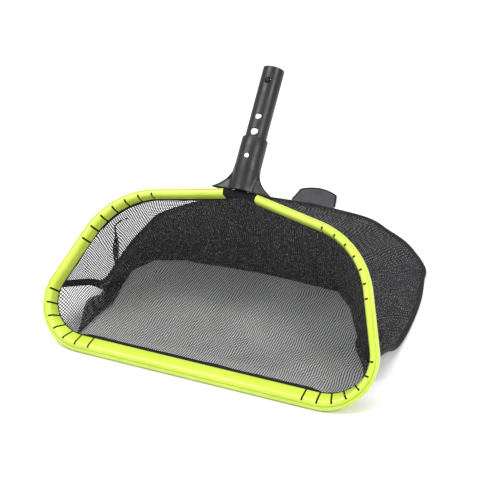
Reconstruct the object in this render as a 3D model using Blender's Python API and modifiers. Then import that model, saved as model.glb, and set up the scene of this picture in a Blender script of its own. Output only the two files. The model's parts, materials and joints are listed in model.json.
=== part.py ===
"""Leaf skimmer net: a leaning hoop with a kerfed plastic edging, a mesh bag that lies on the
floor behind it, a moulded yoke and a pole spigot with a snap clip, and a pull tab that hinges.

Two frames are used. The floor frame is the object's own, with +Z up, +X across the mouth and +Y
towards the tail of the bag. The hoop frame leans back with the hoop: its X is the same, its Z runs
up the hoop towards the pole and its Y runs away from the mouth. Metres throughout.
"""

import math

import bmesh
import bpy
from mathutils import Matrix, Vector

# Hoop: the line that the edging's front ridge follows, from the middle of the bottom rail
LEAN = math.radians(44.0)
RIDGE_HEIGHT = 0.0125
FRONT_TO_CENTRE = 0.2549
BOTTOM_HALF = 0.162
BOTTOM_CORNER_R = 0.0598
BOTTOM_CORNER_TURN = math.radians(110.0)
SIDE_LENGTH = 0.0745
TOP_CORNER_R = 0.1065
RAIL_RISE = math.radians(11.3)

# Edging: a channel that snaps over the hem; thickness and depth at the bottom, sides and top
EDGING_THICK = {"bottom": 0.0150, "side": 0.0120, "top": 0.0100}
EDGING_DEPTH = {"bottom": 0.0200, "side": 0.0180, "top": 0.0160}
EDGING_ROLL = {"bottom": LEAN, "side": math.radians(6.0), "top": math.radians(4.0)}
EDGING_SHIFT = {"bottom": 0.0050, "side": 0.0015, "top": 0.0015}
EDGING_WALL = 0.0014
NOSE_SHARE = 0.38
EDGING_END_X = 0.0225
KERF_GROUPS = (0.204, 0.398)
KERF_PITCH = 0.0192
KERFS_IN_GROUP = 7
KERF_WIDTH = 0.0009

# Hoop rod and the hem sewn round it
ROD_R = 0.0025
ROD_DEPTH = 0.0053
ROD_BEND_R = 0.008
ROD_TOP = 0.266
HEM_OUT_R = 0.0032
HEM_IN_R = 0.0028

# Yoke, spigot and fasteners, in the hoop frame
AXIS_Y = 0.007
YOKE_BOTTOM = 0.243
YOKE_TOP = 0.315
SOCKET_R = 0.0173
YOKE_WALL = 0.0027
CAVITY_TOP = 0.268
SPIGOT_R = 0.0143
SPIGOT_BORE_R = 0.0115
SPIGOT_BOTTOM = 0.2695
SPIGOT_TOP = 0.413
CLEARANCE = 0.0003
SNAP_HOLE_Z = 0.393
SNAP_HOLE_R = 0.0044
SPARE_HOLES = ((0.3435, 0.0043), (0.3226, 0.0050))
RIVET_Z = 0.288
RIVET_R = 0.0024
SCREW_X = 0.008
SCREW_Z = 0.256

# Snap clip: a bent steel strip whose two arms push the buttons out
CLIP_HALF_GAP = 0.0065
CLIP_Z = 0.362
CLIP_WIDTH = 0.008
CLIP_THICK = 0.0009
ARM_TOP = 0.3975
BUTTON_R = 0.0033
BUTTON_OUT = 0.0024

# Bag: two mesh panels joined by a bound seam, which is symmetric across X
PANEL_THICK = 0.0012
FLOOR_PANEL_Z = 0.00085
SEAM_START = 0.272
SEAM_ROUTE = (
    (0.2195, 0.110, 0.032),
    (0.2225, 0.150, 0.010),
    (0.2240, 0.205, 0.0030),
    (0.2215, 0.270, 0.0027),
    (0.2125, 0.325, 0.0027),
    (0.2055, 0.357, 0.0027),
    (0.1690, 0.4065, 0.0027),
    (0.1290, 0.4360, 0.0027),
    (0.0880, 0.4590, 0.0027),
    (0.0, 0.4680, 0.0027),
)
TOUCH_HALF = 0.134
TOUCH_Y = 0.247
BINDING_R = 0.0019
TAB_WIDTH = 0.0695
TAB_LENGTH = 0.0350
TAB_THICK = 0.0022
TAB_GAP = 0.0026
TAB_REST = math.radians(12.0)

HOOP = Matrix.Translation((0, -FRONT_TO_CENTRE, RIDGE_HEIGHT)) @ Matrix.Rotation(-LEAN, 4, "X")


def clear_scene():
    for obj in list(bpy.data.objects):
        bpy.data.objects.remove(obj, do_unlink=True)


def new_collection(name):
    collection = bpy.data.collections.new(name)
    bpy.context.scene.collection.children.link(collection)
    return collection


clear_scene()
PARTS = new_collection("leaf_skimmer_net")
CUTTERS = new_collection("cutters")


def make_material(name, colour, roughness, metallic=0.0):
    material = bpy.data.materials.new(name)
    material.use_nodes = True
    shader = material.node_tree.nodes["Principled BSDF"]
    shader.inputs["Base Color"].default_value = (*colour, 1.0)
    shader.inputs["Roughness"].default_value = roughness
    shader.inputs["Metallic"].default_value = metallic
    material.diffuse_color = (*colour, 1.0)
    return material


LIME = make_material("lime_edging", (0.62, 0.80, 0.03), 0.35)
BLACK_PLASTIC = make_material("black_plastic", (0.025, 0.025, 0.027), 0.45)
NET = make_material("net_mesh", (0.03, 0.03, 0.035), 0.8)
BINDING = make_material("seam_binding", (0.015, 0.015, 0.017), 0.85)
WEBBING = make_material("tab_webbing", (0.05, 0.05, 0.055), 0.75)
ALUMINIUM = make_material("hoop_aluminium", (0.6, 0.6, 0.62), 0.35, 1.0)
STEEL = make_material("spring_steel", (0.55, 0.55, 0.56), 0.3, 1.0)


def lerp(a, b, t):
    return a + (b - a) * t


def smooth(t):
    t = min(1.0, max(0.0, t))
    return t * t * (3 - 2 * t)


# ---------------------------------------------------------------- the hoop's line and sections

BOTTOM_ARC = BOTTOM_CORNER_R * BOTTOM_CORNER_TURN
TOP_CORNER_TURN = math.pi - RAIL_RISE - BOTTOM_CORNER_TURN
TOP_ARC = TOP_CORNER_R * TOP_CORNER_TURN
SIDE_START = BOTTOM_HALF + BOTTOM_ARC
SIDE_END = SIDE_START + SIDE_LENGTH
RAIL_START = SIDE_END + TOP_ARC


def turn(x, z, heading, radius, length):
    """The end and heading of an arc that turns left, from a point and a heading."""
    end = heading + length / radius
    x += radius * (math.sin(end) - math.sin(heading))
    z -= radius * (math.cos(end) - math.cos(heading))
    return x, z, end


def ridge(s):
    """The front ridge at a length s from the bottom's middle, up the right side: x, z, heading."""
    x, z, heading = min(s, BOTTOM_HALF), 0.0, 0.0
    if s > BOTTOM_HALF:
        x, z, heading = turn(x, z, heading, BOTTOM_CORNER_R, min(s - BOTTOM_HALF, BOTTOM_ARC))
    if s > SIDE_START:
        run = min(s - SIDE_START, SIDE_LENGTH)
        x, z = x + run * math.cos(heading), z + run * math.sin(heading)
    if s > SIDE_END:
        x, z, heading = turn(x, z, heading, TOP_CORNER_R, min(s - SIDE_END, TOP_ARC))
    if s > RAIL_START:
        run = s - RAIL_START
        x, z = x + run * math.cos(heading), z + run * math.sin(heading)
    return x, z, heading


RAIL_TO_MIDDLE = ridge(RAIL_START)[0] / math.cos(RAIL_RISE)


def rail_station(x):
    """The length s at which the top rail reaches a given x."""
    return RAIL_START + RAIL_TO_MIDDLE - x / math.cos(RAIL_RISE)


def varied(sizes, s):
    """A size that changes smoothly from the bottom rail to the sides and on to the top rails."""
    size = lerp(sizes["bottom"], sizes["side"], smooth((s - BOTTOM_HALF) / BOTTOM_ARC))
    return lerp(size, sizes["top"], smooth((s - SIDE_END) / TOP_ARC))


def section(s):
    """The edging's section at s: its middle, outward and depth directions, thickness and depth.

    A negative s is the left side, which mirrors the right one.
    """
    side = -1.0 if s < 0 else 1.0
    s = abs(s)
    x, z, heading = ridge(s)
    roll = varied(EDGING_ROLL, s)
    out_x, out_z = math.sin(heading), -math.cos(heading)
    outward = Vector((out_x * math.cos(roll), math.sin(roll), out_z * math.cos(roll)))
    deep = Vector((-out_x * math.sin(roll), math.cos(roll), -out_z * math.sin(roll)))
    middle = Vector((x, 0, z)) + outward * varied(EDGING_SHIFT, s)
    for vector in (middle, outward, deep):
        vector.x *= side
    return middle, outward, deep, varied(EDGING_THICK, s), varied(EDGING_DEPTH, s)


def spaced(start, end, step):
    count = max(1, round((end - start) / step))
    return [lerp(start, end, i / count) for i in range(count)]


def stations(end, fine=0.010):
    """Lengths from the bottom's middle to end: few on straight runs, close together in bends."""
    half = spaced(0, BOTTOM_HALF - 0.022, 0.07)
    half += spaced(BOTTOM_HALF - 0.022, SIDE_START, fine)
    half += spaced(SIDE_START, SIDE_END, 0.04)
    half += spaced(SIDE_END, RAIL_START, fine * 1.6)
    half = [s for s in half + spaced(RAIL_START, rail_station(EDGING_END_X), 0.04) if s < end - 0.004]
    return half + [end]


def both_sides(half):
    return [-s for s in reversed(half[1:])] + half


# ---------------------------------------------------------------- mesh helpers


def link(name, mesh, material, collection=PARTS, parent=None):
    obj = bpy.data.objects.new(name, mesh)
    collection.objects.link(obj)
    if material:
        mesh.materials.append(material)
    obj.parent = parent
    return obj


def finish_mesh(bm, name, smooth_angle=35.0):
    bmesh.ops.recalc_face_normals(bm, faces=bm.faces)
    mesh = bpy.data.meshes.new(name)
    bm.to_mesh(mesh)
    bm.free()
    mesh.shade_smooth()
    mesh.set_sharp_from_angle(angle=math.radians(smooth_angle))
    return mesh


def loft(name, rings, material, parent=None, collection=PARTS):
    """A closed solid through rings of points, with a cap at each end."""
    bm = bmesh.new()
    rows = [[bm.verts.new(p) for p in ring] for ring in rings]
    for low, high in zip(rows, rows[1:]):
        for i in range(len(low)):
            j = (i + 1) % len(low)
            bm.faces.new((low[i], low[j], high[j], high[i]))
    bm.faces.new(rows[0])
    bm.faces.new(list(reversed(rows[-1])))
    return link(name, finish_mesh(bm, name), material, collection, parent)


def hollow_loft(name, outer, inner, material, parent=None):
    """A sleeve between two sets of rings, open along its whole length."""
    bm = bmesh.new()
    rows = [[bm.verts.new(p) for p in out] + [bm.verts.new(p) for p in into] for out, into in zip(outer, inner)]
    count = len(outer[0])
    for low, high in zip(rows, rows[1:]):
        for i in range(count):
            j = (i + 1) % count
            bm.faces.new((low[i], low[j], high[j], high[i]))
            bm.faces.new((low[count + j], low[count + i], high[count + i], high[count + j]))
    for row, flip in ((rows[0], True), (rows[-1], False)):
        for i in range(count):
            j = (i + 1) % count
            face = (row[i], row[j], row[count + j], row[count + i])
            bm.faces.new(tuple(reversed(face)) if flip else face)
    return link(name, finish_mesh(bm, name), material, parent=parent)


def cylinder(name, radius, start, end, material=None, collection=PARTS, parent=None, sides=32):
    """A cylinder between two points of its parent's frame."""
    start, end = Vector(start), Vector(end)
    bm = bmesh.new()
    bmesh.ops.create_cone(
        bm, cap_ends=True, segments=sides, radius1=radius, radius2=radius, depth=(end - start).length
    )
    lay = (end - start).to_track_quat("Z", "Y").to_matrix().to_4x4()
    bmesh.ops.transform(bm, matrix=Matrix.Translation((start + end) / 2) @ lay, verts=bm.verts)
    return link(name, finish_mesh(bm, name), material, collection, parent)


def box(name, low, high, material=None, collection=PARTS, parent=None):
    low, high = Vector(low), Vector(high)
    bm = bmesh.new()
    bmesh.ops.create_cube(bm, size=1.0)
    scale = Matrix.Diagonal((*(high - low), 1.0))
    bmesh.ops.transform(bm, matrix=Matrix.Translation((low + high) / 2) @ scale, verts=bm.verts)
    return link(name, finish_mesh(bm, name), material, collection, parent)


def cut(obj, cutter, operation="DIFFERENCE"):
    modifier = obj.modifiers.new(cutter.name, "BOOLEAN")
    modifier.operation = operation
    modifier.object = cutter
    cutter.hide_render = True
    cutter.display_type = "WIRE"


def wire(name, points, radius, material, parent=None):
    """A round bar along a list of points."""
    curve = bpy.data.curves.new(name, "CURVE")
    curve.dimensions = "3D"
    curve.bevel_depth = radius
    curve.bevel_resolution = 2
    curve.use_fill_caps = True
    spline = curve.splines.new("POLY")
    spline.points.add(len(points) - 1)
    for spot, p in zip(spline.points, points):
        spot.co = (*p, 1.0)
    curve.materials.append(material)
    obj = bpy.data.objects.new(name, curve)
    PARTS.objects.link(obj)
    obj.parent = parent
    return obj


def bar_to_mesh(obj, material):
    """The same bar as a mesh with welded caps, so that it can be cut."""
    bpy.context.view_layer.update()
    mesh = bpy.data.meshes.new_from_object(obj.evaluated_get(bpy.context.evaluated_depsgraph_get()))
    bm = bmesh.new()
    bm.from_mesh(mesh)
    bmesh.ops.remove_doubles(bm, verts=bm.verts, dist=0.00001)
    name, parent = obj.name, obj.parent
    bpy.data.objects.remove(obj, do_unlink=True)
    return link(name, finish_mesh(bm, name), material, parent=parent)


# ---------------------------------------------------------------- edging, rod and hem


def edging_profile(thick, depth):
    """Points (outward, depth) round the channel: nose at depth 0, open at the back."""
    half, radius, inside = thick / 2, thick * NOSE_SHARE, thick / 2 - EDGING_WALL
    corner = [(radius * (1 - math.cos(a)), radius * (1 - math.sin(a))) for a in (0.0, 0.52, 1.05, math.pi / 2)]
    near = [(-half + x, y) for x, y in corner]
    far = [(half - x, y) for x, y in reversed(corner)]
    bevel, floor = 0.001, EDGING_WALL
    hollow = [(inside, depth), (inside, floor + bevel), (inside - bevel, floor)]
    hollow += [(-inside + bevel, floor), (-inside, floor + bevel), (-inside, depth)]
    return [(-half, depth)] + near + far + [(half, depth)] + hollow


def make_edging(parent):
    rings = []
    for s in both_sides(stations(rail_station(EDGING_END_X))):
        middle, outward, deep, thick, depth = section(s)
        ring = [middle + outward * e + deep * d for e, d in edging_profile(thick, depth)]
        rings.append(ring)
    edging = loft("lime_edging", rings, LIME, parent)
    bm = bmesh.new()
    for group in KERF_GROUPS:
        for i in range(KERFS_IN_GROUP):
            s = group + (i - KERFS_IN_GROUP // 2) * KERF_PITCH
            for side in (-1, 1):
                add_kerf(bm, side * s)
    kerfs = link("kerf_cutter", finish_mesh(bm, "kerf_cutter"), None, CUTTERS, parent)
    cut(edging, kerfs)
    return edging


def add_kerf(bm, s):
    """A thin saw cut through the channel's inner wall, ending on the front ridge."""
    middle, outward, deep, thick, depth = section(s)
    along = outward.cross(deep).normalized()
    margin = 0.001
    low, high = -thick / 2 - margin, -varied(EDGING_SHIFT, abs(s))
    size = Vector((high - low, depth + 2 * margin, KERF_WIDTH))
    basis = Matrix((outward, deep, along)).transposed().to_4x4()
    centre = middle + outward * (low + high) / 2 + deep * depth / 2
    made = bmesh.ops.create_cube(bm, size=1.0)
    place = Matrix.Translation(centre) @ basis @ Matrix.Diagonal((*size, 1.0))
    bmesh.ops.transform(bm, matrix=place, verts=made["verts"])


def rod_point(s):
    middle, _, deep, _, _ = section(s)
    return middle + deep * ROD_DEPTH


def rod_end_points():
    """The right-hand end of the rod: a bend at the middle of the top, then up into the yoke."""
    start = rod_point(rail_station(SCREW_X + ROD_BEND_R))
    steps = 5
    bend = []
    for i in range(steps + 1):
        angle = lerp(RAIL_RISE, math.pi / 2, i / steps)
        x = start.x + ROD_BEND_R * (math.sin(RAIL_RISE) - math.sin(angle))
        z = start.z + ROD_BEND_R * (math.cos(RAIL_RISE) - math.cos(angle))
        bend.append(Vector((x, start.y, z)))
    return bend + [Vector((bend[-1].x, start.y, ROD_TOP))]


def make_rod(parent):
    half = [rod_point(s) for s in stations(rail_station(SCREW_X + ROD_BEND_R) - 0.006)] + rod_end_points()
    mirrored = [Vector((-p.x, p.y, p.z)) for p in reversed(half[1:])]
    rod = bar_to_mesh(wire("hoop_rod", mirrored + half, ROD_R, ALUMINIUM, parent), ALUMINIUM)
    end_x, end_y = half[-1].x, half[-1].y
    for side, name in ((-1, "left"), (1, "right")):
        hole = cylinder(
            f"rod_hole_{name}", 0.0013, (side * end_x, end_y - 0.01, SCREW_Z), (side * end_x, end_y + 0.01, SCREW_Z),
            collection=CUTTERS, parent=parent, sides=16,
        )
        cut(rod, hole)
    return end_x, end_y


def ring_round(centre, across, up, radius, sides=8):
    angles = [2 * math.pi * (i + 0.5) / sides for i in range(sides)]
    return [centre + across * radius * math.cos(a) + up * radius * math.sin(a) for a in angles]


def make_hem(parent):
    """The fabric sleeve round the rod, one half on each side of the yoke's rod bends."""
    outer, inner = [], []
    for s in both_sides(stations(rail_station(EDGING_END_X) + 0.004)):
        middle, outward, deep, _, _ = section(s)
        centre = middle + deep * ROD_DEPTH
        outer.append(ring_round(centre, outward, deep, HEM_OUT_R))
        inner.append(ring_round(centre, outward, deep, HEM_IN_R))
    return hollow_loft("hem_sleeve", outer, inner, NET, parent)


# ---------------------------------------------------------------- yoke, spigot and fasteners


def flare(z, inset=0.0):
    """Half width and half depth of the yoke at a height: a tube that flares into two wings."""
    t = max(0.0, (YOKE_BOTTOM + 0.042 - z) / 0.042)
    half_width = SOCKET_R + 0.0005 * t + 0.0252 * t**3.2
    half_depth = SOCKET_R - 0.0023 * smooth(t)
    return half_width - inset, half_depth - inset


def oval(z, half_width, half_depth, sides=40):
    angles = [2 * math.pi * i / sides for i in range(sides)]
    return [Vector((half_width * math.cos(a), AXIS_Y + half_depth * math.sin(a), z)) for a in angles]


def make_yoke(parent, rod_x):
    heights = [YOKE_BOTTOM, 0.246, 0.250, 0.256, 0.263, 0.272, 0.285, YOKE_TOP]
    yoke = loft("yoke", [oval(z, *flare(z)) for z in heights], BLACK_PLASTIC, parent)
    hollow_heights = [YOKE_BOTTOM - 0.004, YOKE_BOTTOM, 0.246, 0.250, 0.256, 0.263, CAVITY_TOP]
    hollow = [oval(z, *flare(max(z, YOKE_BOTTOM), YOKE_WALL)) for z in hollow_heights]
    cavity = loft("yoke_cavity", hollow, None, parent, CUTTERS)
    bore = cylinder(
        "yoke_bore", SPIGOT_R + CLEARANCE, (0, AXIS_Y, CAVITY_TOP - 0.002), (0, AXIS_Y, YOKE_TOP + 0.01),
        collection=CUTTERS, parent=parent, sides=48,
    )
    side_gap = box(
        "yoke_side_gap", (-0.06, AXIS_Y - 0.0062, YOKE_BOTTOM - 0.01), (0.06, AXIS_Y + 0.0062, CAVITY_TOP - 0.003),
        collection=CUTTERS, parent=parent,
    )
    rivet_hole = cylinder(
        "yoke_rivet_hole", RIVET_R + CLEARANCE, (0, AXIS_Y - 0.03, RIVET_Z), (0, AXIS_Y + 0.03, RIVET_Z),
        collection=CUTTERS, parent=parent, sides=20,
    )
    for cutter in (cavity, bore, side_gap, rivet_hole):
        cut(yoke, cutter)
    for side, name in ((-1, "left"), (1, "right")):
        hole = cylinder(
            f"yoke_screw_hole_{name}", 0.0019, (side * rod_x, AXIS_Y, SCREW_Z),
            (side * rod_x, AXIS_Y + 0.03, SCREW_Z), collection=CUTTERS, parent=parent, sides=16,
        )
        cut(yoke, hole)


def make_spigot(parent):
    spigot = cylinder(
        "pole_spigot", SPIGOT_R, (0, AXIS_Y, SPIGOT_BOTTOM), (0, AXIS_Y, SPIGOT_TOP), BLACK_PLASTIC,
        parent=parent, sides=48,
    )
    bore = cylinder(
        "spigot_bore", SPIGOT_BORE_R, (0, AXIS_Y, SPIGOT_BOTTOM - 0.01), (0, AXIS_Y, SPIGOT_TOP + 0.01),
        collection=CUTTERS, parent=parent, sides=40,
    )
    cut(spigot, bore)
    through = [("snap_hole", SNAP_HOLE_Z, SNAP_HOLE_R, 0.03), ("spigot_rivet_hole", RIVET_Z, RIVET_R + CLEARANCE, 0.03)]
    through += [(f"spare_hole_{i}", z, r, 0.0) for i, (z, r) in enumerate(SPARE_HOLES)]
    for name, z, radius, back in through:
        hole = cylinder(
            name, radius, (0, AXIS_Y - 0.03, z), (0, AXIS_Y + back, z), collection=CUTTERS, parent=parent, sides=24,
        )
        cut(spigot, hole)
    for name, z in (("upper", SPARE_HOLES[0][0] + 0.0040), ("lower", SPARE_HOLES[1][0] + 0.0048)):
        slot = box(
            f"spigot_slot_{name}", (-0.0134, AXIS_Y + 0.0030, z - 0.0056), (0.0134, AXIS_Y + 0.02, z + 0.0056),
            collection=CUTTERS, parent=parent,
        )
        cut(spigot, slot)


def turned(name, profile, sides, material, place, parent):
    """A turned piece: the profile runs from the top down its outer side, as (radius, height)."""
    bm = bmesh.new()
    rings = []
    for radius, height in profile:
        angles = [2 * math.pi * i / sides for i in range(sides)]
        rings.append([bm.verts.new(place @ Vector((radius * math.cos(a), radius * math.sin(a), height))) for a in angles])
    for high, low in zip(rings, rings[1:]):
        for i in range(sides):
            j = (i + 1) % sides
            bm.faces.new((high[i], low[i], low[j], high[j]))
    bm.faces.new(rings[0])
    bm.faces.new(list(reversed(rings[-1])))
    return link(name, finish_mesh(bm, name), material, parent=parent)


def along_mouth(x, z, towards_mouth=True):
    """A frame at (x, z) on the handle's axis plane whose Z points out of the front or the back."""
    rotation = Matrix.Rotation(math.pi / 2 if towards_mouth else -math.pi / 2, 4, "X")
    return Matrix.Translation((x, AXIS_Y, z)) @ rotation


def make_fasteners(parent, rod_x, rod_y):
    reach = SOCKET_R + CLEARANCE
    head = [(0.0001, reach + 0.0014), (0.0022, reach + 0.0013), (0.0042, reach + 0.0005), (0.0044, reach)]
    shank = [(RIVET_R, reach), (RIVET_R, -reach)]
    tail = [(0.0040, -reach), (0.0040, -reach - 0.0010), (0.0001, -reach - 0.0012)]
    turned("spigot_rivet", head + shank + tail, 20, ALUMINIUM, along_mouth(0, RIVET_Z), parent)
    depth = flare(SCREW_Z)[1]
    for side, name in ((-1, "left"), (1, "right")):
        top = depth + CLEARANCE - 0.0002
        profile = [(0.0001, top + 0.0018), (0.0024, top + 0.0016), (0.0034, top + 0.0004), (0.0034, top)]
        profile += [(0.0010, top), (0.0010, rod_y - AXIS_Y - ROD_R - 0.0008), (0.0001, rod_y - AXIS_Y - ROD_R - 0.0009)]
        turned(f"hoop_screw_{name}", profile, 14, STEEL, along_mouth(side * rod_x, SCREW_Z, False), parent)


def strip_ring(y, z, normal_y, normal_z):
    """The four corners of the clip's strip at a point, across X."""
    half_w, half_t = CLIP_WIDTH / 2, CLIP_THICK / 2
    corners = ((-1, -1), (1, -1), (1, 1), (-1, 1))
    return [Vector((a * half_w, y + b * half_t * normal_y, z + b * half_t * normal_z)) for a, b in corners]


def make_clip(parent):
    """The strip's bend stays in the bore; each arm and its button turn about the arm's foot."""
    steps = 10
    bend = []
    for i in range(steps + 1):
        angle = math.pi * i / steps
        y, z = -math.cos(angle) * CLIP_HALF_GAP, -math.sin(angle) * CLIP_HALF_GAP
        bend.append(strip_ring(AXIS_Y + y, CLIP_Z - 0.0006 + z, -math.cos(angle), -math.sin(angle)))
    loft("clip_bend", bend, STEEL, parent)
    lean_out = 0.0022
    for side, name in ((-1, "front"), (1, "rear")):
        hinge = bpy.data.objects.new(f"{name}_arm_hinge", None)
        PARTS.objects.link(hinge)
        hinge.parent = parent
        hinge.location = (0, AXIS_Y + side * CLIP_HALF_GAP, CLIP_Z)
        height = ARM_TOP - CLIP_Z
        arm = [strip_ring(side * lean_out * t, height * t, 1.0, 0.0) for t in (0.0, 0.5, 1.0)]
        loft(f"clip_arm_{name}", arm, STEEL, hinge)
        seat = lean_out * (SNAP_HOLE_Z - CLIP_Z) / height + CLIP_THICK / 2 + CLEARANCE
        out = SPIGOT_R + BUTTON_OUT - CLIP_HALF_GAP
        crown = [(0.0001, out), (BUTTON_R * 0.6, out - 0.0003), (BUTTON_R * 0.92, out - 0.0010)]
        profile = crown + [(BUTTON_R, out - 0.0018), (BUTTON_R, seat), (0.0001, seat - 0.00001)]
        rotation = Matrix.Rotation(-side * math.pi / 2, 4, "X")
        place = Matrix.Translation((0, 0, SNAP_HOLE_Z - CLIP_Z)) @ rotation
        turned(f"snap_button_{name}", profile, 20, BLACK_PLASTIC, place, hinge)


# ---------------------------------------------------------------- bag


def in_channel(s, depth):
    """A floor-frame point in the middle of the edging's section, at a depth from its nose."""
    middle, _, deep, _, _ = section(s)
    return HOOP @ (middle + deep * depth)


def floor_frame(x, y, z):
    """A point given from the foot of the front ridge, in the floor frame."""
    return Vector((x, y - FRONT_TO_CENTRE, z))


def smooth_line(points, count):
    """Evenly spread points on a smooth curve through the given ones."""
    ends = [points[0] * 2 - points[1]] + list(points) + [points[-1] * 2 - points[-2]]
    dense = []
    for a, b, c, d in zip(ends, ends[1:], ends[2:], ends[3:]):
        for i in range(12):
            t = i / 12
            dense.append(
                (b * 2 + (c - a) * t + (a * 2 - b * 5 + c * 4 - d) * t * t + (b * 3 - a - c * 3 + d) * t**3) / 2
            )
    dense.append(points[-1])
    lengths = [0.0]
    for p, q in zip(dense, dense[1:]):
        lengths.append(lengths[-1] + (q - p).length)
    line, k = [], 0
    for i in range(count):
        want = lengths[-1] * i / (count - 1)
        while k < len(dense) - 2 and lengths[k + 1] < want:
            k += 1
        span = lengths[k + 1] - lengths[k]
        line.append(dense[k].lerp(dense[k + 1], (want - lengths[k]) / span))
    return line


SEAM_SHARES = 200


def make_seam_line():
    start = in_channel(SEAM_START, EDGING_DEPTH["side"] + 0.004)
    return smooth_line([start] + [floor_frame(*p) for p in SEAM_ROUTE], SEAM_SHARES + 1)


SEAM_LINE = make_seam_line()


def seam_at(share):
    place = min(1.0, max(0.0, share)) * SEAM_SHARES
    low = min(int(place), SEAM_SHARES - 1)
    return SEAM_LINE[low].lerp(SEAM_LINE[low + 1], place - low)


def panel(name, rows, material):
    """A sheet of the panel's thickness through a grid of points."""
    bm = bmesh.new()
    grid = [[bm.verts.new(p) for p in row] for row in rows]
    for a, b in zip(grid, grid[1:]):
        for i in range(len(a) - 1):
            bm.faces.new((a[i], a[i + 1], b[i + 1], b[i]))
    obj = link(name, finish_mesh(bm, name, 60.0), material)
    solid = obj.modifiers.new("thickness", "SOLIDIFY")
    solid.thickness = PANEL_THICK
    solid.offset = 0.0
    return obj


def floor_row(s, steps):
    """From the hem inside the edging, down to the floor and back to the seam."""
    share = 1.0 - (abs(s) / SEAM_START) ** 1.15
    tucked = in_channel(s, ROD_DEPTH + HEM_OUT_R + 0.0012)
    mouth = in_channel(s, section(s)[4] + 0.002)
    side = -1.0 if s < 0 else 1.0
    seam = seam_at(share)
    end = Vector((side * seam.x, seam.y, max(seam.z - 0.0018, FLOOR_PANEL_Z)))
    row = [tucked, mouth]
    for i in range(1, steps + 1):
        t = (i / steps) ** 1.25
        flat = mouth.lerp(end, t)
        fall = smooth((flat - mouth).length / 0.050)
        low = lerp(end.z, FLOOR_PANEL_Z, smooth((1 - t) * 8) if end.z > 0.004 else 1.0)
        row.append(Vector((flat.x, flat.y, lerp(lerp(mouth.z, end.z, t), low, fall) if t < 1 else end.z)))
    return row


def touch_point(share):
    """Where the top panel comes down on the floor panel, for a share of the seam's length."""
    corner = 0.55
    side_foot = Vector((0.2195, 0.085))
    back_foot = Vector((TOUCH_HALF, TOUCH_Y))
    if share > corner:
        flat = back_foot.lerp(Vector((0.0, TOUCH_Y)), (share - corner) / (1 - corner))
    else:
        flat = side_foot.lerp(back_foot, share / corner)
    return floor_frame(flat.x, flat.y, 0.0042)


def top_row(s, steps, side):
    """From the hem inside the edging, down the tent to the floor panel, and flat to the seam."""
    top = rail_station(0.0)
    share = ((s - SEAM_START) / (top - SEAM_START)) ** 0.9
    tucked = in_channel(s, ROD_DEPTH + HEM_OUT_R + 0.0012)
    mouth = in_channel(s, section(s)[4] + 0.002)
    seam = seam_at(share)
    end = Vector((seam.x, seam.y, seam.z + 0.0012))
    touch = touch_point(share)
    near = smooth(share * 5)
    touch = end.lerp(touch, near) if share < 0.2 else touch
    row = [tucked, mouth]
    falls = steps // 2
    for i in range(1, falls + 1):
        t = i / falls
        p = mouth.lerp(touch, t)
        p.z -= 0.016 * math.sin(math.pi * t) * (mouth.z - touch.z) / 0.16
        row.append(p)
    for i in range(1, steps - falls + 1):
        t = i / (steps - falls)
        p = touch.lerp(end, t)
        p.z += 0.006 * math.sin(math.pi * t) * near
        row.append(p)
    return [Vector((side * p.x, p.y, p.z)) for p in row]


def make_panels():
    floor_s = spaced(0, BOTTOM_HALF - 0.022, 0.020) + spaced(BOTTOM_HALF - 0.022, SEAM_START - 0.003, 0.013)
    floor_s.append(SEAM_START - 0.003)
    panel("net_floor_panel", [floor_row(s, 7) for s in both_sides(floor_s)], NET)
    top = rail_station(0.0)
    half = spaced(SEAM_START + 0.004, SIDE_END, 0.022) + spaced(SIDE_END, RAIL_START, 0.016)
    half += spaced(RAIL_START, top, 0.022)
    right = [top_row(s, 10, 1.0) for s in half]
    left = [top_row(s, 10, -1.0) for s in half]
    middle = top_row(top, 10, 1.0)
    for p in middle:
        p.x = 0.0
    panel("net_top_panel", left + [middle] + list(reversed(right)), NET)


def outward_of(line, i):
    a, b = line[max(i - 1, 0)], line[min(i + 1, len(line) - 1)]
    run = b - a
    return Vector((run.y, -run.x, 0)).normalized()


def make_bindings():
    """A tape bound over the joined edges: left and right along the sides, and round the rear."""
    offset = BINDING_R + 0.0010
    split = 0.60
    sides = [seam_at(lerp(0.035, split - 0.004, i / 24)) for i in range(25)]
    rear = [seam_at(lerp(split + 0.004, 1.0, i / 18)) for i in range(19)]
    lift = 0.0
    for name, side in (("right", 1.0), ("left", -1.0)):
        points = []
        for i, p in enumerate(sides):
            q = p - outward_of(sides, i) * -offset
            points.append(Vector((side * q.x, q.y, max(q.z, BINDING_R + 0.0002) + lift)))
        wire(f"seam_binding_{name}", points, BINDING_R, BINDING)
    half = []
    for i, p in enumerate(rear):
        direction = Vector((0, 1, 0)) if i == len(rear) - 1 else -outward_of(rear, i) * -1
        q = p + direction * offset
        half.append(Vector((q.x, q.y, BINDING_R + 0.0002)))
    mirrored = [Vector((-p.x, p.y, p.z)) for p in reversed(half[:-1])]
    wire("seam_binding_rear", half + mirrored, BINDING_R, BINDING)
    return half[-1].y + BINDING_R


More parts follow.
